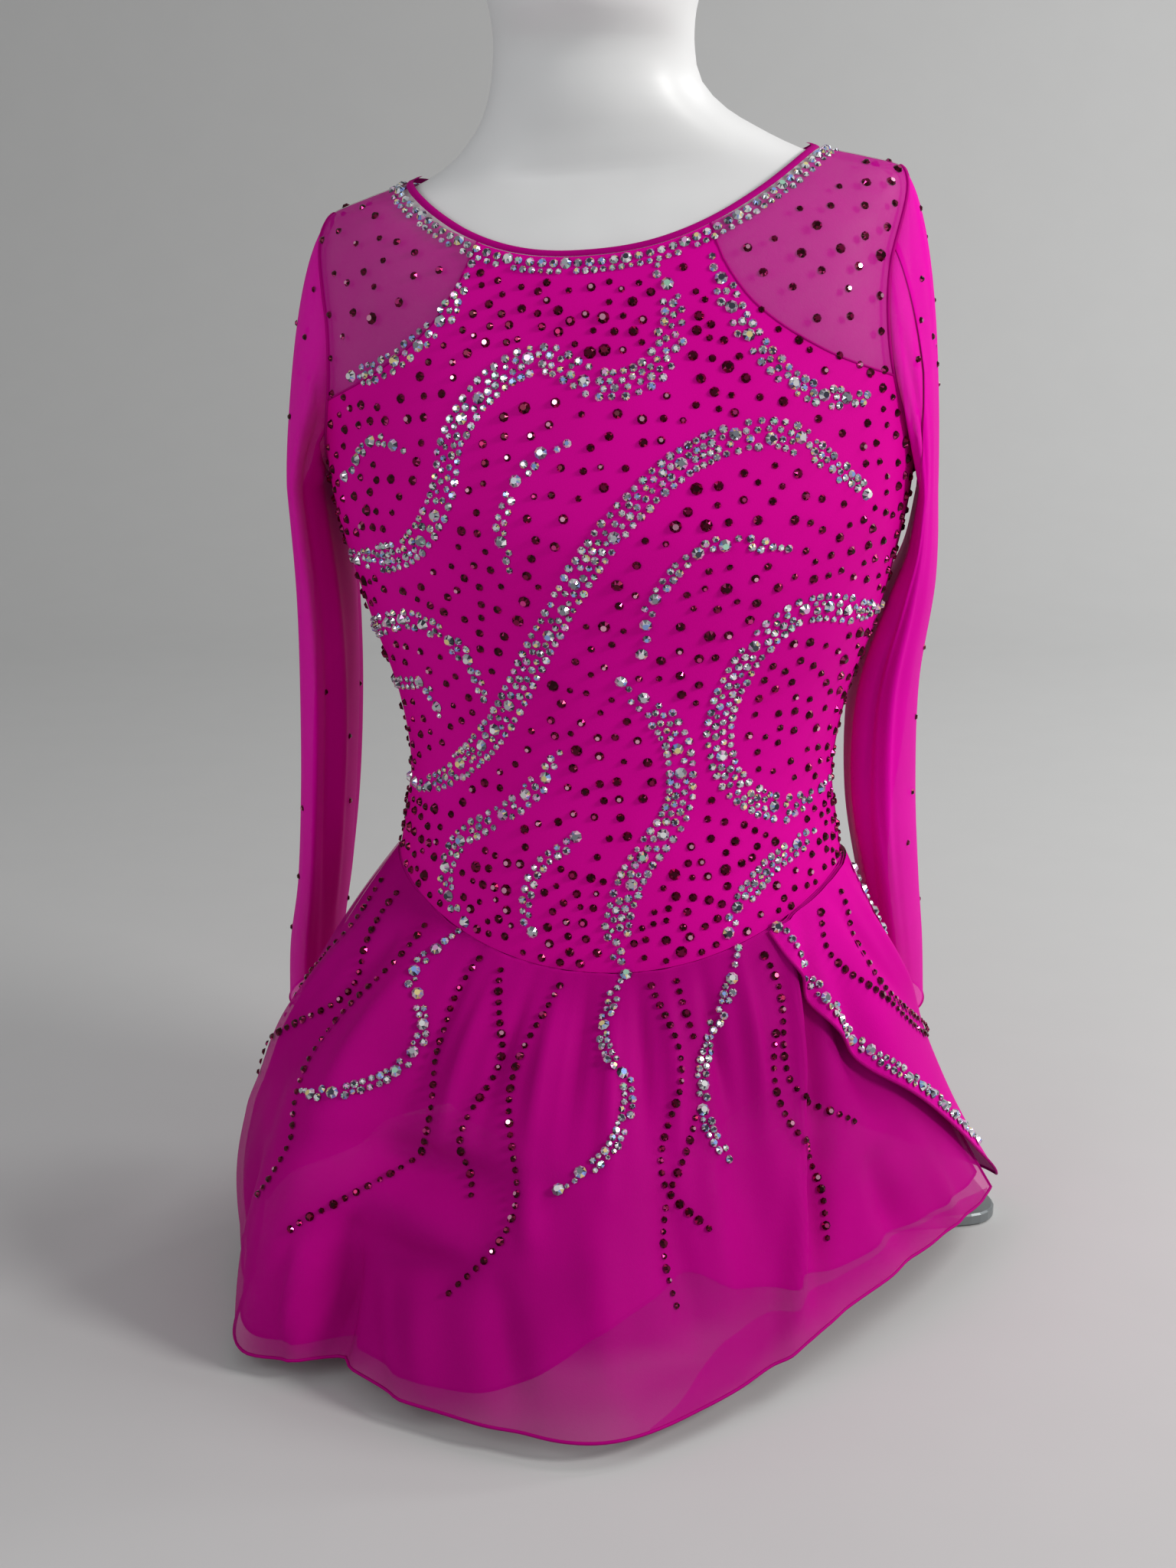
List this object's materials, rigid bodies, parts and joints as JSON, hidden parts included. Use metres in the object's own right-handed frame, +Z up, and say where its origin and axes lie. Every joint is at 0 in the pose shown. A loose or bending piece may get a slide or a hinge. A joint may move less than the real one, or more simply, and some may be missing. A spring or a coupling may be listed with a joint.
{
  "type": "figure skating dress on a limbless dress form",
  "caption": "Long-sleeved stretch dress with sheer shoulder yokes and a flared wrap skirt over briefs, worn by a limbless dress form on a plate stand.",
  "frame": {"origin": "centre of the bounding box's footprint, level with the underside of the stand's plate", "axes": "+Z up; the dress's front faces -Y; the wearer's left hand side is +X"},
  "size_m": [0.4826, 0.56, 0.9601],
  "materials": {
    "magenta_spandex": "matte stretch knit",
    "magenta_power_mesh": "sheer fine stretch mesh",
    "white_form": "satin",
    "grey_stand": "satin grey"
  },
  "bodies": {
    "root": {"bodice_back": "magenta_spandex", "bodice_front": "magenta_spandex", "briefs_back": "magenta_spandex", "briefs_front": "magenta_spandex", "briefs_gusset": "magenta_spandex", "form_plate": "grey_stand", "form_post_left": "grey_stand", "form_post_right": "grey_stand", "form_torso": "white_form", "neck_binding": "magenta_spandex", "skirt_back_wrap": "magenta_power_mesh", "skirt_front_under": "magenta_power_mesh", "skirt_front_upper": "magenta_power_mesh", "sleeve_left": "magenta_power_mesh", "sleeve_right": "magenta_power_mesh", "yoke_back_left": "magenta_power_mesh", "yoke_back_right": "magenta_power_mesh", "yoke_front_left": "magenta_power_mesh", "yoke_front_right": "magenta_power_mesh"}
  },
  "joints": []
}
